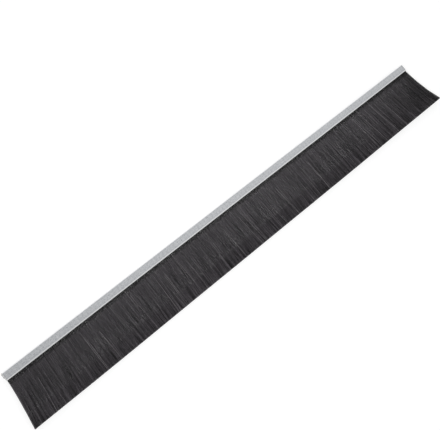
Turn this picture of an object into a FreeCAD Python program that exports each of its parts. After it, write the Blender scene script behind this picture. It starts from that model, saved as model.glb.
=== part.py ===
import FreeCAD, Part
import math
import os

from FreeCAD import Vector

# A brush strip for a letterbox draught excluder, lying flat on its side.
# A thin steel channel holds a curtain of filaments, folded in half round a core wire.
# X runs along the strip, the filaments point along -Y, and Z is up from the surface.
# The origin is on the channel's lower side wall, straight under the core wire's axis.

# Driving dimensions, in millimetres and degrees
STRIP_LENGTH = 330.0  # the channel, end to end
CHANNEL_WIDTH = 5.0  # over the two side walls
SHEET_THICKNESS = 0.5
SPINE_BEND = 0.4  # inner radius where the spine turns into each side wall
WALL_LENGTH = 1.1  # from the core wire's axis to the bend where each side wall turns in
LIP_LENGTH = 1.6  # from that bend to the lip's edge, which is pinched in on the filaments
LIP_PINCH = 0.35  # how far each lip's edge stands in from its wall
LIP_BEND = 1.0  # inner radius of that bend
WIRE_DIAMETER = 1.4
WIRE_PROUD = 0.8  # how far the cut wire stands out of each end
WIRE_END_ROUND = 0.2
FREE_LENGTH = 29.8  # filament length from the lips to the trimmed tips
TIP_HEIGHT = 5.3  # top of the curtain at its tips
REST_START = 0.55  # share of the free length after which the curtain lies on the surface
LOCK_PITCH = 3.0  # mean spacing of the locks that the filaments gather into
LOCK_RIDGE = 0.6  # height of a lock's ridge at the tips, on each face
GAP_WIDTH = 0.4  # mean opening between two locks at the tips
GAP_DEPTH = 9.0  # mean length of that opening, from the tips
LEFT_FLARE = 6.0  # outward lean of the last filaments at the left end
RIGHT_FLARE = 10.0  # and at the right end
SWAY = 1.8  # how far the filaments lean to and fro along the strip
SWAY_PITCH = 112.0  # from one place where they sway to the right to the next
SWAY_PEAK = 10.0  # X of one such place

# Shapes of the curves that the filaments follow
SECTIONS = (0.0, 0.18, 0.42, 0.7, 1.0)  # shares of the free length where the curtain is drawn
BEND_POWER = 1.3  # a leaning filament bends a little along its length
RISE_POWER = 1.8  # the curtain thickens fast outside the lips, then slowly
EVEN_SPREAD = 0.55  # share of the flare that grows evenly along the strip
END_POWER = 5  # the rest of it grows fast towards the ends
PITCH_SWING = 0.22  # uneven lock spacing, as a share of the pitch
PITCH_TURN = 2.4  # radians of that unevenness from one lock to the next
GAP_SWING = 0.45  # uneven gaps, as a share of their width and depth
GAP_TURN = 1.7  # radians of that unevenness from one gap to the next
BEYOND = 2.0  # how far the trimming's outline reaches past the curtain

# The channel's section, with Y measured from the core wire's axis
HALF_WIDTH = CHANNEL_WIDTH / 2
FOLD_RADIUS = HALF_WIDTH - SHEET_THICKNESS
SPINE_Y = FOLD_RADIUS + SHEET_THICKNESS
PINCH_Y = -WALL_LENGTH
LIP_Y = PINCH_Y - LIP_LENGTH
PINCH_ANGLE = math.atan2(LIP_PINCH, LIP_LENGTH)
HALF_LENGTH = STRIP_LENGTH / 2


def across(y, z):
    """A point of the strip's cross-section, in the plane of its left end."""
    return Vector(-HALF_LENGTH, y, z)


def mirrored(point):
    """The same point of the cross-section on the upper side wall."""
    return across(point.y, CHANNEL_WIDTH - point.z)


def turned_path(points, radii):
    """Edges along the points, with an arc of its own radius at each corner between them."""
    edges = []
    last = points[0]
    for before, corner, after, radius in zip(points, points[1:], points[2:], radii):
        back = (before - corner).normalize()
        ahead = (after - corner).normalize()
        half_angle = back.getAngle(ahead) / 2
        reach = radius / math.tan(half_angle)
        arc_start = corner + back * reach
        arc_end = corner + ahead * reach
        inward = (back + ahead).normalize()
        arc_middle = corner + inward * (radius / math.sin(half_angle) - radius)
        edges.append(Part.makeLine(last, arc_start))
        edges.append(Part.Arc(arc_start, arc_middle, arc_end).toShape())
        last = arc_end
    edges.append(Part.makeLine(last, points[-1]))
    return edges


def lip_corners(inset):
    """The lower lip's edge and its bend, this far in from the channel's outer surface."""
    edge_y = LIP_Y + inset * math.sin(PINCH_ANGLE)
    edge_z = LIP_PINCH + inset * math.cos(PINCH_ANGLE)
    bend_y = PINCH_Y + inset * math.tan(PINCH_ANGLE / 2)
    return across(edge_y, edge_z), across(bend_y, inset)


def channel_surface(inset):
    """The channel's section line, this far in from its outer surface."""
    edge, bend = lip_corners(inset)
    corner = across(SPINE_Y - inset, inset)
    points = [edge, bend, corner, mirrored(corner), mirrored(bend), mirrored(edge)]
    lip_radius = LIP_BEND + SHEET_THICKNESS - inset
    spine_radius = SPINE_BEND + SHEET_THICKNESS - inset
    return turned_path(points, [lip_radius, spine_radius, spine_radius, lip_radius])


def make_channel():
    """Steel strip folded to a U, with both lips pinched in on the filaments."""
    outer_lip, _ = lip_corners(0.0)
    inner_lip, _ = lip_corners(SHEET_THICKNESS)
    lower_cut = Part.makeLine(outer_lip, inner_lip)
    upper_cut = Part.makeLine(mirrored(outer_lip), mirrored(inner_lip))
    outline = channel_surface(0.0) + channel_surface(SHEET_THICKNESS) + [lower_cut, upper_cut]
    section = Part.Face(Part.Wire(Part.__sortEdges__(outline)))
    return section.extrude(Vector(STRIP_LENGTH, 0, 0))


def make_core_wire():
    """Straight wire in the fold of the filaments, cut a little proud of the channel."""
    start = Vector(-HALF_LENGTH - WIRE_PROUD, 0, HALF_WIDTH)
    length = STRIP_LENGTH + 2 * WIRE_PROUD
    wire = Part.makeCylinder(WIRE_DIAMETER / 2, length, start, Vector(1, 0, 0))
    rims = [edge for edge in wire.Edges if edge.Closed]
    return wire.makeFillet(WIRE_END_ROUND, rims)


def make_fold():
    """The filaments inside the channel: round the back of the wire and out to the lips."""
    edge, bend = lip_corners(SHEET_THICKNESS)
    mouth = across(LIP_Y, edge.z)
    wall_end = across(0, SHEET_THICKNESS)
    lower_leg = [edge, bend, wall_end]
    upper_leg = [mirrored(point) for point in lower_leg]
    edges = turned_path(lower_leg, [LIP_BEND]) + turned_path(upper_leg, [LIP_BEND])
    edges.append(Part.Arc(wall_end, across(FOLD_RADIUS, HALF_WIDTH), mirrored(wall_end)).toShape())
    mouth_line = [edge, mouth, mirrored(mouth), mirrored(edge)]
    edges += Part.makePolygon(mouth_line).Edges
    outline = Part.Wire(Part.__sortEdges__(edges))
    wire = Part.makeCircle(WIRE_DIAMETER / 2, across(0, HALF_WIDTH), Vector(1, 0, 0))
    section = Part.Face(outline).cut(Part.Face(Part.Wire(wire)))
    return section.extrude(Vector(STRIP_LENGTH, 0, 0))


def lean_at(root_x):
    """Lean of the filaments that leave the mouth at this X, to the right, in radians."""
    share = root_x / HALF_LENGTH
    spread = EVEN_SPREAD * share + (1 - EVEN_SPREAD) * share**END_POWER
    mean_flare = (RIGHT_FLARE + LEFT_FLARE) / 2
    uneven_flare = (RIGHT_FLARE - LEFT_FLARE) / 2
    sway = SWAY * math.cos(2 * math.pi * (root_x - SWAY_PEAK) / SWAY_PITCH)
    return math.radians(mean_flare * spread + uneven_flare * share**2 + sway)


def along(root_x, share):
    """X of a filament that leaves the mouth at root_x, at a share of its free length."""
    return root_x + FREE_LENGTH * math.tan(lean_at(root_x)) * share**BEND_POWER


def faces_at(share):
    """Heights of the curtain's lower and upper face at a share of the free length."""
    mouth_low = lip_corners(SHEET_THICKNESS)[0].z
    mouth_high = CHANNEL_WIDTH - mouth_low
    low = mouth_low * max(0.0, 1 - share / REST_START) ** 2
    high = mouth_high + (TIP_HEIGHT - mouth_high) * (1 - (1 - share) ** RISE_POWER)
    return low, high


def lock_count():
    return round(STRIP_LENGTH / LOCK_PITCH)


def parting(index):
    """X at the mouth of the parting after this many locks. The spacing is a little uneven."""
    swing = 0.0 if index in (0, lock_count()) else PITCH_SWING * math.sin(PITCH_TURN * index)
    return -HALF_LENGTH + STRIP_LENGTH * (index + swing) / lock_count()


def curtain_section(share):
    """The curtain's outline across the filaments, a ridge on each face for every lock."""
    y = LIP_Y - FREE_LENGTH * share
    low, high = faces_at(share)
    ridge = LOCK_RIDGE * share
    lower = []
    upper = []
    for index in range(lock_count()):
        left, right = parting(index), parting(index + 1)
        valley, crest = along(left, share), along((left + right) / 2, share)
        lower += [Vector(valley, y, low + ridge), Vector(crest, y, low)]
        upper += [Vector(valley, y, high - ridge), Vector(crest, y, high)]
    last = along(HALF_LENGTH, share)
    lower.append(Vector(last, y, low + ridge))
    upper.append(Vector(last, y, high - ridge))
    return Part.makePolygon(lower + upper[::-1] + lower[:1])


def trimmed_y(root_x):
    """Y of a filament's tip. They were trimmed to one length, so a leaning one ends early."""
    return LIP_Y - FREE_LENGTH * math.cos(lean_at(root_x))


def gap_after(index):
    """The V-shaped opening after this lock, as points of its left tip, its apex and right tip."""
    swing = GAP_SWING * math.sin(GAP_TURN * index)
    half_gap = GAP_WIDTH * (1 + swing) / 2
    apex_share = 1 - GAP_DEPTH * (1 - swing) / FREE_LENGTH
    root_x = parting(index)
    tip_x, tip_y = along(root_x, 1.0), trimmed_y(root_x)
    apex = Vector(along(root_x, apex_share), LIP_Y - FREE_LENGTH * apex_share, 0)
    return [Vector(tip_x - half_gap, tip_y, 0), apex, Vector(tip_x + half_gap, tip_y, 0)]


def make_trimming():
    """A comb-shaped block that holds what trimming and parting leave of the curtain."""
    tips = [Vector(along(-HALF_LENGTH, 1.0) - BEYOND, trimmed_y(-HALF_LENGTH), 0)]
    for index in range(1, lock_count()):
        tips += gap_after(index)
    tips.append(Vector(along(HALF_LENGTH, 1.0) + BEYOND, trimmed_y(HALF_LENGTH), 0))
    roots = [Vector(tips[-1].x, LIP_Y + BEYOND, 0), Vector(tips[0].x, LIP_Y + BEYOND, 0)]
    outline = Part.makePolygon(tips + roots + tips[:1])
    outline.translate(Vector(0, 0, -BEYOND))
    return Part.Face(outline).extrude(Vector(0, 0, TIP_HEIGHT + 2 * BEYOND))


def make_filaments():
    """Both legs of the folded filaments as one curtain, ridged and parted into locks."""
    curtain = Part.makeLoft([curtain_section(share) for share in SECTIONS], True, True)
    curtain = curtain.common(make_trimming())
    return make_fold().fuse(curtain)


os.makedirs("parts", exist_ok=True)
PIECES = {
    "channel": make_channel(),
    "core_wire": make_core_wire(),
    "filaments": make_filaments(),
}
for name, shape in PIECES.items():
    shape.exportStep(f"parts/{name}.step")
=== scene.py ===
import math

import bpy
import numpy as np
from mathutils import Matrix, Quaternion, Vector


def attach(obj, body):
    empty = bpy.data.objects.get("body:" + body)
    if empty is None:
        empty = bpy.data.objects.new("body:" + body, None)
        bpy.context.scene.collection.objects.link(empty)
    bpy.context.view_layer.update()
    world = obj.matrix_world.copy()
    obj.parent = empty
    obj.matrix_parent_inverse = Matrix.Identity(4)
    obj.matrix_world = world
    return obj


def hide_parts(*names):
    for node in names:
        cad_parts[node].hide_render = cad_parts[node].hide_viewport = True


# A brush strip for a letterbox draught excluder, lying flat on its side on a white table.
# X runs along the strip, the filaments point along -Y, and Z is up. Lengths are in metres.
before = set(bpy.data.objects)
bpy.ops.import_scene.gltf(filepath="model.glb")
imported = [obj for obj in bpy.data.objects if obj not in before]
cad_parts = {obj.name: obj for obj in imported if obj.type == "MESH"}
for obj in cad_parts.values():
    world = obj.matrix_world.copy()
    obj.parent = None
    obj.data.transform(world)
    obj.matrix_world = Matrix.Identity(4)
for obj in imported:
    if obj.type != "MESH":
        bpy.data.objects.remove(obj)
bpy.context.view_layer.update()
bpy.ops.object.select_all(action="DESELECT")

# Channel
# Galvanised steel strip, rolled to a U and pinched on the filaments along both lips. It keeps its
# mill finish: a soft zinc mottle, grain lines along it and faint marks from the feed rollers.
STRIP_LENGTH = 0.330
HALF_LENGTH = STRIP_LENGTH / 2
CHANNEL_WIDTH = 0.005  # over the two side walls
SHEET_THICKNESS = 0.0005
WALL_LENGTH = 0.0011  # from the core wire's axis to the bend where each side wall turns in
LIP_LENGTH = 0.0016  # from that bend to the lip's edge
LIP_PINCH = 0.00035  # how far each lip's edge stands in from its wall
LIP_Y = -WALL_LENGTH - LIP_LENGTH
SPINE_Y = CHANNEL_WIDTH / 2  # outer face of the back
SHEARED_DEPTH = 0.00002  # how far in from a cut end bare steel shows
GRAIN_PITCH = 0.00012
GRAIN_STRETCH = 12  # length of a grain line over its width
GRAIN_DETAIL = 3
MOTTLE_SIZE = 0.0007
MOTTLE_DETAIL = 4
MOTTLE_ROUGHNESS = 0.6
FINISH_SPAN = (0.3, 0.7)  # a noise seldom leaves these, and is spread from them onto 0 to 1
FEED_MARK_PITCH = 0.0028
FEED_MARK_SWAY = 2.5  # how unevenly they run
FEED_MARK_DETAIL = 2
WAVE_TURN = 20  # radians that the bands of a Wave Texture of scale 1 turn in each metre
GRAIN_TONE = 0.3  # shares of the grain, the mottle and the feed marks in the zinc's colour
MOTTLE_TONE = 0.55
FEED_MARK_TONE = 0.08
ZINC_DARK = (0.32, 0.335, 0.355, 1)
ZINC_LIGHT = (0.76, 0.77, 0.785, 1)
ZINC_ROUGHNESS = 0.27
MOTTLE_ROUGHER = 0.1  # how much rougher the palest patches are
ZINC_RELIEF = 0.000006  # grain and feed marks together
RELIEF_SHARE = 0.5  # of each of them
ZINC_PAINTED_HIGHLIGHT = (0.95, 0.955, 0.96, 1)  # painted highlight on the bends and lips
PAINTED_HIGHLIGHT_STRENGTH = 0.85
BEND_HIGHLIGHT_SPAN = (0.22, 0.45)  # the normal's Y times its Z where the painted highlight starts and is full, which is 0.5 halfway round a bend
LIP_HIGHLIGHT_SPAN = (-0.0017, -0.0023)  # Y where the painted highlight along the lips starts and where it is full
LIP_PAINTED_SHADE = (0.05, 0.05, 0.052, 1)  # painted shade along the lips' very edges
LIP_PAINTED_SHADE_WIDTH = 0.00022
BARE_STEEL = (0.66, 0.655, 0.645, 1)


def add_node(tree, kind, inputs=None, **settings):
    """A shader node of this kind, with its settings and the values of its unlinked inputs."""
    made = tree.nodes.new("ShaderNode" + kind)
    for name, value in settings.items():
        setattr(made, name, value)
    for name, value in (inputs or {}).items():
        made.inputs[name].default_value = value
    return made


def feed(tree, socket, value):
    """Links another node's output to the socket, or sets the socket to a number or colour."""
    if isinstance(value, bpy.types.NodeSocket):
        tree.links.new(value, socket)
    else:
        socket.default_value = value


def calculated(tree, operation, *values):
    """A Math node's result on these values, each a number or another node's output."""
    made = add_node(tree, "Math", operation=operation)
    for socket, value in zip(made.inputs, values):
        feed(tree, socket, value)
    return made.outputs["Value"]


def weighted(tree, *terms, plus=0.0):
    """The sum of values, each times its own weight, plus a number or another value."""
    total = plus
    for value, weight in terms:
        total = calculated(tree, "MULTIPLY_ADD", value, weight, total)
    return total


def stretched(tree, value, span, onto=(0.0, 1.0), easing="LINEAR"):
    """The value spread from one span onto another, and held at that one's ends."""
    ends = {"From Min": span[0], "From Max": span[1], "To Min": onto[0], "To Max": onto[1]}
    made = add_node(tree, "MapRange", ends, interpolation_type=easing)
    tree.links.new(value, made.inputs["Value"])
    return made.outputs["Result"]


def mixed(tree, share, first, second):
    """Two colours mixed by share. Either may be a colour or another node's output."""
    made = add_node(tree, "Mix", data_type="RGBA")
    tree.links.new(share, made.inputs["Factor"])
    # A Mix node takes its two colours at inputs 6 and 7, and gives the mixed one at output 2.
    feed(tree, made.inputs[6], first)
    feed(tree, made.inputs[7], second)
    return made.outputs[2]


def axes_of(tree, vector):
    """The X, Y and Z of a vector, by name."""
    made = add_node(tree, "SeparateXYZ")
    tree.links.new(vector, made.inputs["Vector"])
    return made.outputs


def mapped(tree, vector, scale):
    """The coordinates, scaled along each axis."""
    mapping = add_node(tree, "Mapping", {"Scale": scale})
    tree.links.new(vector, mapping.inputs["Vector"])
    return mapping.outputs["Vector"]


def noise(tree, vector, detail, roughness=0.5):
    """Cloudy noise between 0 and 1, one cloud for each unit of the coordinates."""
    made = add_node(tree, "TexNoise", {"Scale": 1, "Detail": detail, "Roughness": roughness})
    tree.links.new(vector, made.inputs["Vector"])
    return made.outputs["Fac"]


def new_material(name):
    """An empty node material, with its Principled shader wired to the output."""
    made = bpy.data.materials.new(name)
    made.use_nodes = True
    tree = made.node_tree
    tree.nodes.clear()
    shader = add_node(tree, "BsdfPrincipled")
    output = add_node(tree, "OutputMaterial")
    tree.links.new(shader.outputs["BSDF"], output.inputs["Surface"])
    return made, tree, shader


def bumped(tree, height, depth, shader):
    """Height from 0 to 1 as relief of this depth on the shader's surface."""
    bump = add_node(tree, "Bump", {"Distance": depth})
    tree.links.new(height, bump.inputs["Height"])
    tree.links.new(bump.outputs["Normal"], shader.inputs["Normal"])


def build_mill_finish():
    """Grain lines along X and soft mottle, for steel that keeps the finish of the mill."""
    group = bpy.data.node_groups.new("mill_finish", "ShaderNodeTree")
    socket = group.interface.new_socket
    socket(name="Vector", in_out="INPUT", socket_type="NodeSocketVector")
    socket(name="Mottle Size", in_out="INPUT", socket_type="NodeSocketFloat")
    socket(name="Grain", in_out="OUTPUT", socket_type="NodeSocketFloat")
    socket(name="Mottle", in_out="OUTPUT", socket_type="NodeSocketFloat")
    start = group.nodes.new("NodeGroupInput").outputs
    end = group.nodes.new("NodeGroupOutput").inputs
    across = 1 / GRAIN_PITCH
    lines = mapped(group, start["Vector"], (across / GRAIN_STRETCH, across, across))
    grain = stretched(group, noise(group, lines, GRAIN_DETAIL), FINISH_SPAN)
    size = add_node(group, "CombineXYZ")
    for axis in "XYZ":
        group.links.new(start["Mottle Size"], size.inputs[axis])
    patches = add_node(group, "VectorMath", operation="DIVIDE")
    group.links.new(start["Vector"], patches.inputs[0])
    group.links.new(size.outputs["Vector"], patches.inputs[1])
    clouds = noise(group, patches.outputs["Vector"], MOTTLE_DETAIL, MOTTLE_ROUGHNESS)
    mottle = stretched(group, clouds, FINISH_SPAN)
    group.links.new(grain, end["Grain"])
    group.links.new(mottle, end["Mottle"])
    return group


mill_finish = build_mill_finish()


def milled(tree, mottle_size):
    """The mill finish on Object coordinates: the coordinates, the grain and the mottle."""
    place = add_node(tree, "TexCoord").outputs["Object"]
    finish = add_node(tree, "Group", node_tree=mill_finish)
    finish.inputs["Mottle Size"].default_value = mottle_size
    tree.links.new(place, finish.inputs["Vector"])
    return place, finish.outputs["Grain"], finish.outputs["Mottle"]


def beyond(tree, place, distance):
    """1 where a point is farther along the strip than this, at either end, and 0 elsewhere."""
    reach = calculated(tree, "ABSOLUTE", axes_of(tree, place)["X"])
    return calculated(tree, "GREATER_THAN", reach, distance)


def painted_highlight(tree, place):
    """Painted highlight: strongest along the spine's bends and the lips' edges, fading to 0 on the
    flats.
    """
    normal = axes_of(tree, add_node(tree, "NewGeometry").outputs["Normal"])
    slant = calculated(tree, "ABSOLUTE", calculated(tree, "MULTIPLY", normal["Y"], normal["Z"]))
    bend = stretched(tree, slant, BEND_HIGHLIGHT_SPAN)
    lip = stretched(tree, axes_of(tree, place)["Y"], LIP_HIGHLIGHT_SPAN)
    return calculated(tree, "MULTIPLY", calculated(tree, "MAXIMUM", bend, lip), PAINTED_HIGHLIGHT_STRENGTH)


def make_zinc():
    """Galvanised sheet, satin, with bare steel on the sheared ends."""
    made, tree, shader = new_material("galvanised_steel")
    place, grain, mottle = milled(tree, MOTTLE_SIZE)
    turns = 2 * math.pi / FEED_MARK_PITCH / WAVE_TURN
    bands = {"Scale": turns, "Distortion": FEED_MARK_SWAY, "Detail": FEED_MARK_DETAIL}
    wave = add_node(tree, "TexWave", bands, bands_direction="X")
    tree.links.new(place, wave.inputs["Vector"])
    marks = wave.outputs["Fac"]
    tone = weighted(tree, (grain, GRAIN_TONE), (mottle, MOTTLE_TONE), (marks, FEED_MARK_TONE))
    zinc = mixed(tree, tone, ZINC_DARK, ZINC_LIGHT)
    # A painted highlight along the spine's bends and the lips' edges.
    zinc = mixed(tree, painted_highlight(tree, place), zinc, ZINC_PAINTED_HIGHLIGHT)
    # A thin dark line of painted shade along the lips' very edges.
    lip_shade_span = (LIP_Y + LIP_PAINTED_SHADE_WIDTH, LIP_Y + LIP_PAINTED_SHADE_WIDTH / 2)
    lip_shade = stretched(tree, axes_of(tree, place)["Y"], lip_shade_span)
    zinc = mixed(tree, lip_shade, zinc, LIP_PAINTED_SHADE)
    sheared = beyond(tree, place, HALF_LENGTH - SHEARED_DEPTH)
    tree.links.new(mixed(tree, sheared, zinc, BARE_STEEL), shader.inputs["Base Color"])
    roughness = weighted(tree, (mottle, MOTTLE_ROUGHER), plus=ZINC_ROUGHNESS)
    tree.links.new(roughness, shader.inputs["Roughness"])
    relief = weighted(tree, (grain, RELIEF_SHARE), (marks, RELIEF_SHARE))
    bumped(tree, relief, ZINC_RELIEF, shader)
    shader.inputs["Metallic"].default_value = 1
    return made


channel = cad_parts["channel"]
channel.data.materials.clear()
channel.data.materials.append(make_zinc())

# Core wire
# Hard drawn steel wire, laid in the fold of the filaments and closed in by the channel. It is
# cut with side cutters, so both ends stand a little proud and are brighter than its skin.
WIRE_RADIUS = 0.0007
WIRE_PROUD = 0.0008
WIRE_MOTTLE_SIZE = 0.0008
DIE_LINE_TONE = 0.6  # shares of the die lines and the mottle in the skin's colour
SKIN_MOTTLE_TONE = 0.4
DRAWN_DARK = (0.60, 0.605, 0.61, 1)
DRAWN_LIGHT = (0.80, 0.805, 0.81, 1)
DRAWN_ROUGHNESS = 0.4
DIE_LINE_ROUGHER = 0.15
DIE_LINE_RELIEF = 0.00001


def make_drawn_steel():
    """Drawn wire with die lines along it and bare cut ends."""
    made, tree, shader = new_material("drawn_steel")
    place, lines, mottle = milled(tree, WIRE_MOTTLE_SIZE)
    tone = weighted(tree, (lines, DIE_LINE_TONE), (mottle, SKIN_MOTTLE_TONE))
    skin = mixed(tree, tone, DRAWN_DARK, DRAWN_LIGHT)
    cut = beyond(tree, place, HALF_LENGTH + WIRE_PROUD - SHEARED_DEPTH)
    tree.links.new(mixed(tree, cut, skin, BARE_STEEL), shader.inputs["Base Color"])
    roughness = weighted(tree, (lines, DIE_LINE_ROUGHER), plus=DRAWN_ROUGHNESS)
    tree.links.new(roughness, shader.inputs["Roughness"])
    bumped(tree, lines, DIE_LINE_RELIEF, shader)
    shader.inputs["Metallic"].default_value = 1
    return made


core_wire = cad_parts["core_wire"]
core_wire.data.materials.clear()
core_wire.data.materials.append(make_drawn_steel())

# Sheared left end
# The shears drew the sheet out a little as they cut it, most of all along the spine. This is the
# channel's own end section, drawn out to a wedge of bare steel with the nicks of the blade.
BURR_LENGTH = 0.0007
MERGE_DISTANCE = 0.000001
NICK_SIZE = 0.0004
NICK_DETAIL = 1
NICK_SPAN = (0.3, 0.6)
NICK_DARK = (0.42, 0.42, 0.42, 1)
NICK_LIGHT = (0.90, 0.90, 0.895, 1)
SHEARED_ROUGHNESS = 0.45


def read_points(mesh):
    """Where a mesh's points are, one row for each point."""
    flat = np.zeros(3 * len(mesh.vertices), np.float32)
    mesh.vertices.foreach_get("co", flat)
    return flat.reshape(-1, 3)


def read_triangles(mesh):
    """The points at each face's corners, one row for each face."""
    corners = np.zeros(len(mesh.loops), np.int32)
    mesh.loops.foreach_get("vertex_index", corners)
    return corners.reshape(-1, 3)


def draw_out_end(node, name):
    """The node's section at its left end, drawn out along its back and not at its lips."""
    points = read_points(node.data)
    triangles = read_triangles(node.data)
    at_end = (points[:, 0] < SHEARED_DEPTH - HALF_LENGTH)[triangles].all(1)
    mesh = bpy.data.meshes.new(name)
    mesh.from_pydata(points.tolist(), [], triangles[at_end].tolist())
    made = bpy.data.objects.new(name, mesh)
    bpy.context.scene.collection.objects.link(made)
    bpy.context.view_layer.objects.active = made
    made.select_set(True)
    bpy.ops.object.mode_set(mode="EDIT")
    bpy.ops.mesh.select_all(action="SELECT")
    bpy.ops.mesh.delete_loose()
    bpy.ops.mesh.select_all(action="SELECT")
    bpy.ops.mesh.remove_doubles(threshold=MERGE_DISTANCE)
    bpy.ops.mesh.extrude_region_move(TRANSFORM_OT_translate={"value": (-BURR_LENGTH, 0, 0)})
    bpy.ops.mesh.select_all(action="SELECT")
    bpy.ops.mesh.normals_make_consistent(inside=False)
    # The extruded sides come in another order each run, so the faces are put in a fixed one.
    bpy.ops.mesh.sort_elements(type="CURSOR_DISTANCE", elements={"FACE"})
    bpy.ops.object.mode_set(mode="OBJECT")
    points = read_points(made.data)
    drawn = points[:, 0] < -HALF_LENGTH - BURR_LENGTH / 2
    share = (points[:, 1] - LIP_Y) / (SPINE_Y - LIP_Y)
    points[drawn, 0] = -HALF_LENGTH - SHEARED_DEPTH - BURR_LENGTH * share[drawn]
    made.data.vertices.foreach_set("co", points.ravel())
    return made


def make_sheared_steel():
    """Bare steel with dark nicks."""
    made, tree, shader = new_material("sheared_steel")
    place = add_node(tree, "TexCoord").outputs["Object"]
    across = 1 / NICK_SIZE
    nicks = noise(tree, mapped(tree, place, (across, across, across)), NICK_DETAIL)
    colour = mixed(tree, stretched(tree, nicks, NICK_SPAN), NICK_DARK, NICK_LIGHT)
    tree.links.new(colour, shader.inputs["Base Color"])
    shader.inputs["Metallic"].default_value = 1
    shader.inputs["Roughness"].default_value = SHEARED_ROUGHNESS
    return made


sheared_end = draw_out_end(channel, "sheared_end")
sheared_end.data.materials.append(make_sheared_steel())
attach(sheared_end, "root")
bpy.ops.object.select_all(action="DESELECT")

# Filament curtain
# Black nylon filaments, each folded in half round the core wire, so that two legs leave the
# mouth. They fan out at both ends, gather into locks, and are trimmed to one length.
HALF_WIDTH = CHANNEL_WIDTH / 2  # height of the core wire's axis
FOLD_RADIUS = HALF_WIDTH - SHEET_THICKNESS  # room round that axis inside the channel
FREE_LENGTH = 0.0298  # from the lips to the tips
TIP_HEIGHT = 0.0053  # top of the curtain there
LIP_LOW = LIP_PINCH + SHEET_THICKNESS * math.cos(math.atan2(LIP_PINCH, LIP_LENGTH))
LIP_HIGH = CHANNEL_WIDTH - LIP_LOW  # heights of both lips' inner corners
REST_START = 0.55  # share of the free length after which the curtain lies on the table
RISE_POWER = 1.8  # the curtain thickens fast outside the lips, then slowly
LEFT_FLARE = 6.0  # outward lean of the last filaments at the left end, in degrees
RIGHT_FLARE = 10.0  # and at the right end
EVEN_SPREAD = 0.55  # share of the flare that grows evenly along the strip
END_POWER = 5  # the rest of it grows fast towards the ends
SWAY = 1.8  # degrees that the filaments lean to and fro along the strip
SWAY_PITCH = 0.112  # from one place where they sway to the right to the next
SWAY_PEAK = 0.010  # X of one such place
BEND_POWER = 1.3  # a leaning filament bends a little along its length
LOCK_PITCH = 0.003  # mean spacing of the locks that the filaments gather into
PITCH_SWING = 0.22  # unevenness of that spacing, as a share of it
PITCH_TURN = 2.4  # radians of the unevenness from one lock to the next
LOCK_RIDGE = 0.0006  # height of a lock's ridge at the tips, on each face
GAP_WIDTH = 0.0004  # mean opening between two locks at the tips
GAP_DEPTH = 0.009  # mean length of that opening, from the tips
GAP_SWING = 0.45  # unevenness of the openings, as a share of their width and depth
GAP_TURN = 1.7  # radians of the unevenness from one opening to the next
LEG_COUNT = 11500  # in each half of the fold
SIDES = 3  # of a filament
FILAMENT_RADIUS = 0.00011
TIP_TAPER = 0.85  # thickness of the tips over that of the rest
RINGS = (0.0, 0.12, 0.35, 0.68, 1.0)  # shares of the free length where a filament bends
TRIM_ERROR = 0.00006  # usual unevenness of the trimming
CROWDING = 0.7  # 0 spreads the filaments evenly through the curtain, 1 crowds them to its faces
GOLDEN = (math.sqrt(5) - 1) / 2  # turn from one filament's depth to the next, so they pack evenly
DRIFT_PITCHES = (0.0075, 0.0011)  # sizes of the groups of filaments that wander together
DRIFTS = (0.00022, 0.00010)  # how far groups of each size wander at their tips
DRIFT_POWER = 1.5  # a group wanders more and more towards its tips
DRIFT_MARGIN = 4  # spare groups past the left end, and twice as many past the right end
OWN_LEAN = 0.45  # usual lean of one filament against its neighbours, in degrees as all leans
STRAY_SHARE = 0.03  # of the filaments, which lean out of line
STRAY_LEAN = 3.5  # their usual lean
CALM_END = 0.015  # within this of each end a filament keeps closer to its neighbours
CALM_LEAST = 0.25  # share of its own lean that is left at the very end
RIGHT_SHADE_DEPTH = 0.03  # within this of the right end painted shade darkens the filaments, and none is loose
RIGHT_PAINTED_SHADE = 0.3  # how much darker painted shade makes the last of them
SPLAY_DEPTH = 0.012  # within this of the right end the tips bend out farther
RIGHT_SPLAY = 0.0028  # how much farther the last of them do
SPLAY_POWER = 3  # most of that bend is near the tips
LONE_SHARE = 0.004  # of the upper filaments, which work loose, lie on top and carry a painted glint
LONE_LEAN = 3.0  # their usual lean
LONE_START = 0.4  # share of the free length after which they leave their neighbours
LONE_HEIGHT = 0.00012  # how far they lie above the others
LEG_TONES = (0.20, 0.44)  # darkest and palest shade that a filament has of its own
LONE_TONE = 2  # marks a loose filament
SEED = 7  # fixed, so that every run gives the same filaments
random = np.random.default_rng(SEED)


def close_and_split():
    """Closes both ends of the tube that is being edited, and splits its faces to triangles."""
    bpy.ops.mesh.select_all(action="SELECT")
    bpy.ops.mesh.fill_holes(sides=SIDES)
    bpy.ops.mesh.normals_make_consistent(inside=False)
    bpy.ops.mesh.quads_convert_to_tris()
    bpy.ops.object.mode_set(mode="OBJECT")


def make_master_filament():
    """One three-sided filament along -Y, with a ring at each bend.

    Its first unit is the leg inside the channel, and its second the free length.
    """
    bpy.ops.mesh.primitive_circle_add(
        vertices=SIDES, radius=1, fill_type="NOTHING", rotation=(math.pi / 2, 0, 0)
    )
    made = bpy.context.object
    made.name = "master_filament"
    bpy.ops.object.transform_apply(location=False, rotation=True, scale=False)
    bpy.ops.object.mode_set(mode="EDIT")
    bpy.ops.mesh.select_all(action="SELECT")
    steps = (1.0,) + tuple(after - before for before, after in zip(RINGS, RINGS[1:]))
    for step in steps:
        bpy.ops.mesh.extrude_region_move(TRANSFORM_OT_translate={"value": (0, -step, 0)})
    bpy.ops.transform.resize(value=(TIP_TAPER, 1, TIP_TAPER))
    close_and_split()
    return made


CELL_HEIGHT = 2  # height over width of the cell that each filament has to itself in the UV map
CELL_MARGIN = 0.1  # bare border of a cell, as a share of its size
CAP_REACH = 0.1  # how far a closed end lies past the sides in its cell, as a share of their length


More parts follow.
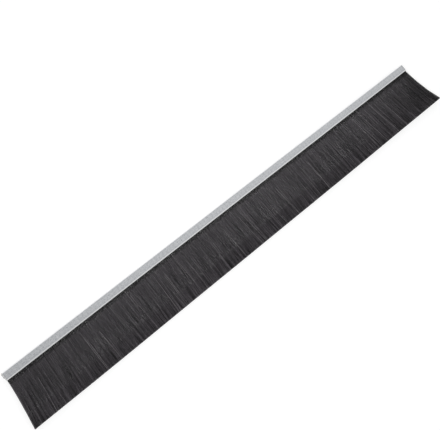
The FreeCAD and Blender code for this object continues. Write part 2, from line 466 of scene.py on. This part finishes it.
def side_by_side(triangles, across, outward, reach):
    """Corner UVs of a three-sided tube: its sides next to each other, its length upwards."""
    turn = np.arctan2(outward, across) / (2 * math.pi / SIDES)
    side = (np.rint(turn).astype(int) % SIDES)[triangles]
    up = reach[triangles]
    capped = (np.sort(side, 1) == np.arange(SIDES)).all(1)
    up[capped, 1] = up[capped, 1] * (1 + 2 * CAP_REACH) - CAP_REACH
    wraps = (side == SIDES - 1).any(1) & (side == 0).any(1) & ~capped
    side = np.where(wraps[:, None] & (side == 0), SIDES, side)
    return np.stack([side / SIDES, up], 2).reshape(-1, 2)


def in_cells(corner_uv, count):
    """The UVs of count copies, each in a cell of its own of one grid."""
    columns = math.ceil(math.sqrt(CELL_HEIGHT * count))
    rows = math.ceil(count / columns)
    cell = np.arange(count)
    place = np.stack([cell % columns, cell // columns], 1)[:, None, :]
    inset = corner_uv[None] * (1 - 2 * CELL_MARGIN) + CELL_MARGIN
    return (place + inset) / (columns, rows)


def join_copies(name, placed, triangles, corner_uv, tones, lay):
    """One mesh of many copies, each with its points, its tone and where it lies in the curtain."""
    count, size = placed.shape[:2]
    corners = (triangles[None] + size * np.arange(count)[:, None, None]).ravel()
    faces = len(corners) // 3
    mesh = bpy.data.meshes.new(name)
    mesh.vertices.add(count * size)
    mesh.vertices.foreach_set("co", placed.astype(np.float32).ravel())
    mesh.loops.add(len(corners))
    mesh.loops.foreach_set("vertex_index", corners.astype(np.int32))
    mesh.polygons.add(faces)
    mesh.polygons.foreach_set("loop_start", np.arange(0, 3 * faces, 3, dtype=np.int32))
    mesh.polygons.foreach_set("use_smooth", np.ones(faces, bool))
    tone = mesh.attributes.new("tone", "FLOAT", "POINT")
    tone.data.foreach_set("value", np.repeat(tones, size).astype(np.float32))
    places = mesh.attributes.new("lay", "FLOAT_VECTOR", "POINT")
    places.data.foreach_set("vector", lay.astype(np.float32).ravel())
    own_cells = mesh.uv_layers.new(name="OFBake")
    own_cells.data.foreach_set("uv", in_cells(corner_uv, count).astype(np.float32).ravel())
    mesh.update()
    mesh.validate()
    made = bpy.data.objects.new(name, mesh)
    bpy.context.scene.collection.objects.link(made)
    return made


def radius_in_fold(depth):
    """How far from the wire's axis a filament of this depth lies in the fold."""
    return WIRE_RADIUS + FILAMENT_RADIUS + depth * (FOLD_RADIUS - WIRE_RADIUS - 2 * FILAMENT_RADIUS)


def lean_at(root_x):
    """Lean of the filaments that leave the mouth at this X, to the right, in radians."""
    share = root_x / HALF_LENGTH
    spread = EVEN_SPREAD * share + (1 - EVEN_SPREAD) * share**END_POWER
    mean_flare = (RIGHT_FLARE + LEFT_FLARE) / 2
    uneven_flare = (RIGHT_FLARE - LEFT_FLARE) / 2
    sway = SWAY * np.cos(2 * math.pi * (root_x - SWAY_PEAK) / SWAY_PITCH)
    return np.radians(mean_flare * spread + uneven_flare * share**2 + sway)


def faces_at(share):
    """Heights of the curtain's lower and upper face at a share of the free length."""
    low = LIP_LOW * max(0.0, 1 - share / REST_START) ** 2
    high = LIP_HIGH + (TIP_HEIGHT - LIP_HIGH) * (1 - (1 - share) ** RISE_POWER)
    return low, high


def drift(place, pitch):
    """A smooth random wave along the strip, from -1 to 1, that turns about every pitch."""
    knots = random.uniform(-1, 1, int(STRIP_LENGTH / pitch) + 3 * DRIFT_MARGIN)
    at = (place + HALF_LENGTH) / pitch + DRIFT_MARGIN
    before = np.floor(at).astype(int)
    blend = (1 - np.cos(np.pi * (at - before))) / 2
    return knots[before] * (1 - blend) + knots[before + 1] * blend


def lock_edges():
    """X at the mouth of every parting between two locks, both ends of the strip included."""
    count = round(STRIP_LENGTH / LOCK_PITCH)
    index = np.arange(count + 1)
    swing = PITCH_SWING * np.sin(PITCH_TURN * index)
    swing[[0, count]] = 0
    return -HALF_LENGTH + STRIP_LENGTH * (index + swing) / count


def place_in_lock(root_x):
    """Where each filament stands in its lock, from -1 to 1, and the parting on its side."""
    edges = lock_edges()
    lock = np.searchsorted(edges, root_x) - 1
    left, right = edges[lock], edges[lock + 1]
    place = (2 * root_x - left - right) / (right - left)
    return place, lock + (place > 0)


def drawn_together(place, parting, share):
    """How far locks draw filaments away from the parting on their side, at this share."""
    swing = GAP_SWING * np.sin(GAP_TURN * parting)
    swing[(parting == 0) | (parting == parting.max())] = -1  # no opening at the strip's ends
    opened = GAP_DEPTH * (1 - swing) / FREE_LENGTH
    along_gap = np.clip((share - 1 + opened) / opened, 0, 1)
    return -place * along_gap * GAP_WIDTH * (1 + swing) / 2


def leg_paths(root_x, depth, lone, side):
    """Points on each leg's line, ring by ring. side is 1 for the upper half, -1 for the lower."""
    count = len(root_x)
    lean = lean_at(root_x)
    own = random.normal(0, OWN_LEAN, count)
    stray = random.random(count) < STRAY_SHARE
    own[stray] += random.normal(0, STRAY_LEAN, stray.sum())
    own *= np.clip((HALF_LENGTH - np.abs(root_x)) / CALM_END, CALM_LEAST, 1)
    own_reach = FREE_LENGTH * np.tan(np.radians(own))
    wander = sum(drift(root_x, pitch) * far for pitch, far in zip(DRIFT_PITCHES, DRIFTS))
    place, parting = place_in_lock(root_x)
    splay = RIGHT_SPLAY * np.clip(1 - (HALF_LENGTH - root_x) / SPLAY_DEPTH, 0, 1) ** 2
    lone_lean = np.radians(random.normal(0, LONE_LEAN, count))
    lone_reach = FREE_LENGTH * np.tan(lone_lean) * lone
    trimmed = FREE_LENGTH * np.cos(lean) + random.normal(0, TRIM_ERROR, count)
    paths = np.zeros((count, len(RINGS) + 1, 3))
    fold_z = HALF_WIDTH + side * radius_in_fold(depth)
    paths[:, 0] = np.stack([root_x, np.zeros(count), fold_z], 1)
    for ring, share in enumerate(RINGS, 1):
        x = root_x + FREE_LENGTH * np.tan(lean) * share**BEND_POWER
        x = x + drawn_together(place, parting, share) + wander * share**DRIFT_POWER
        x = x + own_reach * share + splay * share**SPLAY_POWER
        x = x + lone_reach * max(0.0, share - LONE_START)
        low, high = faces_at(share)
        ridge = LOCK_RIDGE * share * np.abs(place)
        bottom = low + FILAMENT_RADIUS + ridge
        top = high - FILAMENT_RADIUS - ridge
        z = bottom + (top - bottom) * (1 + side * depth) / 2
        loose = lone * min(1.0, share / LONE_START)
        z = z + (high - FILAMENT_RADIUS + LONE_HEIGHT - z) * loose
        paths[:, ring] = np.stack([x, LIP_Y - trimmed * share, z], 1)
    return paths


def copy_along(master, paths, depth, tones, name):
    """One piece with a copy of the master filament along each path.

    The attribute lay says where a point belongs in the curtain: its filament's X at the mouth,
    its share of the filament's free length, and its filament's depth in the curtain.
    """
    points = read_points(master.data)
    triangles = read_triangles(master.data)
    knots = (0.0,) + tuple(1 + share for share in RINGS)
    ring_of = np.rint(np.interp(-points[:, 1], knots, range(len(knots)))).astype(int)
    uv = side_by_side(triangles, points[:, 0], points[:, 2], ring_of / (len(knots) - 1))
    count, size = len(paths), len(points)
    turn = random.uniform(0, 2 * math.pi, count)[:, None]
    placed = paths[:, ring_of, :].copy()
    placed[:, :, 0] += FILAMENT_RADIUS * (points[:, 0] * np.cos(turn) - points[:, 2] * np.sin(turn))
    placed[:, :, 2] += FILAMENT_RADIUS * (points[:, 0] * np.sin(turn) + points[:, 2] * np.cos(turn))
    reach = np.tile(np.clip(-points[:, 1] - 1, 0, 1), count)
    lay = np.stack([np.repeat(paths[:, 1, 0], size), reach, np.repeat(depth, size)], 1)
    return join_copies(name, placed, triangles, uv, tones, lay)


NYLON_DARK = (0.012, 0.011, 0.0125, 1)
NYLON_LIGHT = (0.121, 0.109, 0.1225, 1)
NYLON_ROUGHNESS = 0.18
STREAK_ROUGHER = 0.15
NYLON_PAINTED_GLINT = (0.24, 0.225, 0.235, 1)
GLINT_SPAN = (0.35, 0.6)  # of the broad streaks, over which the painted glint on a loose filament fades in
NOISE_MIDDLE = 0.5
BROAD_STREAKS = (300, 1.2, 1.0)  # for each metre of strip, each free length and the curtain's depth
BROAD_DETAIL = 2
BROAD_TONE = 0.25
FINE_STREAKS = (950, 1.4, 1.0)
FINE_DETAIL = 1
FINE_ROUGHNESS = 0.6
FINE_TONE = 1.5
FINE_AT_MOUTH = 0.15  # strength of the fine streaks at the mouth
FINE_GROWTH = 1.3  # and how much it grows from there to the tips
REACH_PAINTED_SHADE = -0.2  # painted shade, darkening the filaments from the mouth to the tips
TIP_LIGHT_SPAN = (0.62, 0.92)  # shares of the free length over which painted light makes the filaments paler towards the tips
TIP_PAINTED_LIGHT = 0.22
MOUTH_SHADE_SPAN = (0.10, 0.0)  # shares of the free length over which painted shade darkens them into the mouth
MOUTH_SHADE_TONE = -0.45
MOUTH_PAINTED_SHADE = (0.0, 0.0, 0.0, 1)


def make_nylon():
    """Black nylon, each filament of its own shade and a little glossy along its length."""
    made, tree, shader = new_material("black_nylon")
    tone = add_node(tree, "Attribute", attribute_name="tone").outputs["Fac"]
    lay = add_node(tree, "Attribute", attribute_name="lay").outputs["Vector"]
    reach = axes_of(tree, lay)["Y"]
    broad = noise(tree, mapped(tree, lay, BROAD_STREAKS), BROAD_DETAIL)
    fine = noise(tree, mapped(tree, lay, FINE_STREAKS), FINE_DETAIL, FINE_ROUGHNESS)
    growth = weighted(tree, (reach, FINE_GROWTH), plus=FINE_AT_MOUTH)
    streaks = calculated(tree, "MULTIPLY", calculated(tree, "SUBTRACT", fine, NOISE_MIDDLE), growth)
    # Painted light, making the filaments paler towards their tips.
    tip_light = stretched(tree, reach, TIP_LIGHT_SPAN)
    mouth_shade = stretched(tree, reach, MOUTH_SHADE_SPAN)
    shade = weighted(
        tree,
        (streaks, FINE_TONE),
        (broad, BROAD_TONE),
        (reach, REACH_PAINTED_SHADE),
        (tip_light, TIP_PAINTED_LIGHT),
        (mouth_shade, MOUTH_SHADE_TONE),
        plus=tone,
    )
    black = mixed(tree, shade, NYLON_DARK, NYLON_LIGHT)
    # Painted shade at the mouth, where the lips shut out the light.
    black = mixed(tree, mouth_shade, black, MOUTH_PAINTED_SHADE)
    # Loose filaments get a painted glint along part of their length.
    lone = calculated(tree, "GREATER_THAN", tone, LONE_TONE / 2)
    painted_glint = calculated(tree, "MULTIPLY", lone, stretched(tree, broad, GLINT_SPAN))
    tree.links.new(mixed(tree, painted_glint, black, NYLON_PAINTED_GLINT), shader.inputs["Base Color"])
    roughness = weighted(tree, (fine, STREAK_ROUGHER), plus=NYLON_ROUGHNESS)
    tree.links.new(roughness, shader.inputs["Roughness"])
    return made


nylon = make_nylon()
master_filament = make_master_filament()
for half, side in (("lower", -1), ("upper", 1)):
    order = np.arange(LEG_COUNT) + random.random(LEG_COUNT)
    root_x = (order / LEG_COUNT - 0.5) * (STRIP_LENGTH - 2 * FILAMENT_RADIUS)
    rank = (np.arange(LEG_COUNT) * GOLDEN + random.random()) % 1
    even = 1 - CROWDING
    depth = (np.sqrt(even**2 + 4 * CROWDING * rank) - even) / (2 * CROWDING)
    lone = (random.random(LEG_COUNT) < LONE_SHARE) & (side > 0)
    lone &= root_x < HALF_LENGTH - RIGHT_SHADE_DEPTH
    paths = leg_paths(root_x, depth, lone, side)
    tones = random.uniform(*LEG_TONES, LEG_COUNT)
    # Painted shade on the filaments near the right end, darkest at the end itself.
    tones -= RIGHT_PAINTED_SHADE * np.clip(1 - (HALF_LENGTH - root_x) / RIGHT_SHADE_DEPTH, 0, 1)
    tones[lone] = LONE_TONE
    middle = LEG_COUNT // 2
    for end, part in (("left", slice(0, middle)), ("right", slice(middle, None))):
        name = f"curtain_{half}_{end}"
        piece = copy_along(master_filament, paths[part], depth[part], tones[part], name)
        piece.data.materials.append(nylon)
        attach(piece, "root")
        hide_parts("filaments")
bpy.data.objects.remove(master_filament)

# Filament folds
# Both ends of the channel are open, and the folded filaments show there round the back of the
# core wire. They are the same black nylon, each bent to its own radius and packed at random.
LOOP_COUNT = 90  # at each end of the channel
LOOP_DEPTH = 0.0013  # how far in from the end they reach
LOOP_STEPS = 8
LOOP_TONES = (0.08, 0.32)  # their darkest and palest shade


def make_master_loop():
    """One three-sided half ring round the back of the X axis, where a filament is folded."""
    bpy.ops.mesh.primitive_circle_add(
        vertices=SIDES,
        radius=FILAMENT_RADIUS,
        fill_type="NOTHING",
        location=(0, 0, -FOLD_RADIUS),
        rotation=(math.pi / 2, 0, 0),
    )
    made = bpy.context.object
    made.name = "master_loop"
    bpy.ops.object.transform_apply(location=True, rotation=True, scale=False)
    bpy.ops.object.mode_set(mode="EDIT")
    bpy.ops.mesh.select_all(action="SELECT")
    bpy.ops.mesh.spin(steps=LOOP_STEPS, angle=-math.pi, center=(0, 0, 0), axis=(1, 0, 0))
    close_and_split()
    return made


def copy_loops(master, name):
    """Copies of the master loop at both ends of the channel, each closed in to its own radius."""
    points = read_points(master.data)
    triangles = read_triangles(master.data)
    radius = np.hypot(points[:, 1], points[:, 2])
    angle = np.arctan2(points[:, 1], -points[:, 2])
    uv = side_by_side(triangles, points[:, 0], radius - FOLD_RADIUS, angle / math.pi)
    count, size = 2 * LOOP_COUNT, len(points)
    end = np.where(np.arange(count) < LOOP_COUNT, -1, 1)
    root_x = end * (HALF_LENGTH - FILAMENT_RADIUS - LOOP_DEPTH * random.random(count))
    depth = random.random(count)
    own_radius = radius_in_fold(depth)[:, None] + radius - FOLD_RADIUS
    across = root_x[:, None] + points[:, 0]
    back = own_radius * np.sin(angle)
    up = HALF_WIDTH - own_radius * np.cos(angle)
    placed = np.stack([across, back, up], 2)
    lay = np.stack([np.repeat(root_x, size), np.zeros(count * size), np.repeat(depth, size)], 1)
    return join_copies(name, placed, triangles, uv, random.uniform(*LOOP_TONES, count), lay)


master_loop = make_master_loop()
folds = copy_loops(master_loop, "filament_folds")
folds.data.materials.append(nylon)
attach(folds, "root")
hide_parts("filaments")
bpy.data.objects.remove(master_loop)

# Table and surroundings
# A white table under soft studio light from all round. The light is brighter high on the right,
# darker overhead and low down past the right end, and a soft spot lamp shines from the left.
# The camera sees the surroundings themselves as plain white.
TABLE_SIZE = 8.0
TABLE_GREY = (0.4, 0.4, 0.4, 1)
TABLE_GLOW = 0.70
WHITE = (1, 1, 1, 1)
SKY_DARKENS = (0.3, 1.0)  # Z of the direction where it starts to darken, and straight overhead
SKY_LEVELS = (1.0, 0.58)  # its brightness at these two
BRIGHT_DIRECTION = (0.43, 0.0, 0.90)
BRIGHT_SPAN = (0.86, 0.99)  # cosine of the angle off it where the patch starts and is full
BRIGHT_LEVEL = 0.38
DIM_SPAN = (0.56, 0.88)  # X of the direction where the dim patch starts and is full
DIM_LEVEL = -0.6
SEEN_LEVEL = 1.0  # white, for what the camera sees of it
LAMP_PLACE = Vector((-0.75, 0.0, 0.75))
LAMP_AIM = Vector((-0.02, -0.015, 0))  # near the middle of the strip
LAMP_RADIUS = 0.12
LAMP_POWER = 15.0
LAMP_CONE = math.radians(20)


def make_white_table():
    """Pale diffuse table that shows white to the camera and in reflections, shadows kept."""
    made, tree, shader = new_material("white_table")
    shader.inputs["Base Color"].default_value = TABLE_GREY
    shader.inputs["Roughness"].default_value = 1
    shader.inputs["Specular IOR Level"].default_value = 0
    shader.inputs["Emission Color"].default_value = WHITE
    ray = add_node(tree, "LightPath").outputs
    seen = calculated(tree, "MAXIMUM", ray["Is Camera Ray"], ray["Is Glossy Ray"])
    seen = calculated(tree, "MAXIMUM", seen, ray["Is Transmission Ray"])
    glow = calculated(tree, "MULTIPLY", seen, TABLE_GLOW)
    tree.links.new(glow, shader.inputs["Emission Strength"])
    return made


bpy.ops.mesh.primitive_plane_add(size=TABLE_SIZE)
table = bpy.context.object
table.name = "table"
table.data.materials.append(make_white_table())

world = bpy.data.worlds.new("studio")
bpy.context.scene.world = world
world.use_nodes = True
sky = world.node_tree
sky.nodes.clear()
direction = add_node(sky, "TexCoord").outputs["Generated"]
facing = add_node(sky, "VectorMath", {1: BRIGHT_DIRECTION}, operation="DOT_PRODUCT")
sky.links.new(direction, facing.inputs[0])
axes = axes_of(sky, direction)
level = stretched(sky, axes["Z"], SKY_DARKENS, SKY_LEVELS)
bright = stretched(sky, facing.outputs["Value"], BRIGHT_SPAN, (0, BRIGHT_LEVEL), "SMOOTHSTEP")
dim = stretched(sky, axes["X"], DIM_SPAN, (0, DIM_LEVEL), "SMOOTHSTEP")
level = calculated(sky, "ADD", calculated(sky, "ADD", level, bright), dim)
strength = add_node(sky, "Mix", {"B": SEEN_LEVEL})
sky.links.new(add_node(sky, "LightPath").outputs["Is Camera Ray"], strength.inputs["Factor"])
sky.links.new(level, strength.inputs["A"])
light = add_node(sky, "Background", {"Color": WHITE})
sky.links.new(strength.outputs["Result"], light.inputs["Strength"])
out = add_node(sky, "OutputWorld")
sky.links.new(light.outputs["Background"], out.inputs["Surface"])

bpy.ops.object.light_add(type="SPOT", location=LAMP_PLACE)
lamp = bpy.context.object
lamp.name = "soft_lamp"
lamp.data.energy = LAMP_POWER
lamp.data.shadow_soft_size = LAMP_RADIUS
lamp.data.spot_size = LAMP_CONE
lamp.data.spot_blend = 1
lamp.rotation_euler = (LAMP_AIM - LAMP_PLACE).to_track_quat("-Z", "Y").to_euler()

# Camera
# It stands over the left end, looks down and along the strip, and is turned until the strip
# rises to the right.
CAMERA_PLACE = Vector((-0.1893, -0.0315, 0.4566))
CAMERA_TARGET = Vector((-0.00760, -0.00224, 0))
CAMERA_ROLL = math.radians(42.26)
LENS = 65.56
SENSOR_WIDTH = 36
bpy.ops.object.camera_add(location=CAMERA_PLACE)
camera = bpy.context.object
aim = (CAMERA_TARGET - CAMERA_PLACE).to_track_quat("-Z", "Y")
camera.rotation_euler = (aim @ Quaternion((0, 0, 1), CAMERA_ROLL)).to_euler()
camera.data.lens = LENS
camera.data.sensor_width = SENSOR_WIDTH
bpy.context.scene.camera = camera
bpy.context.scene.view_settings.view_transform = "Standard"
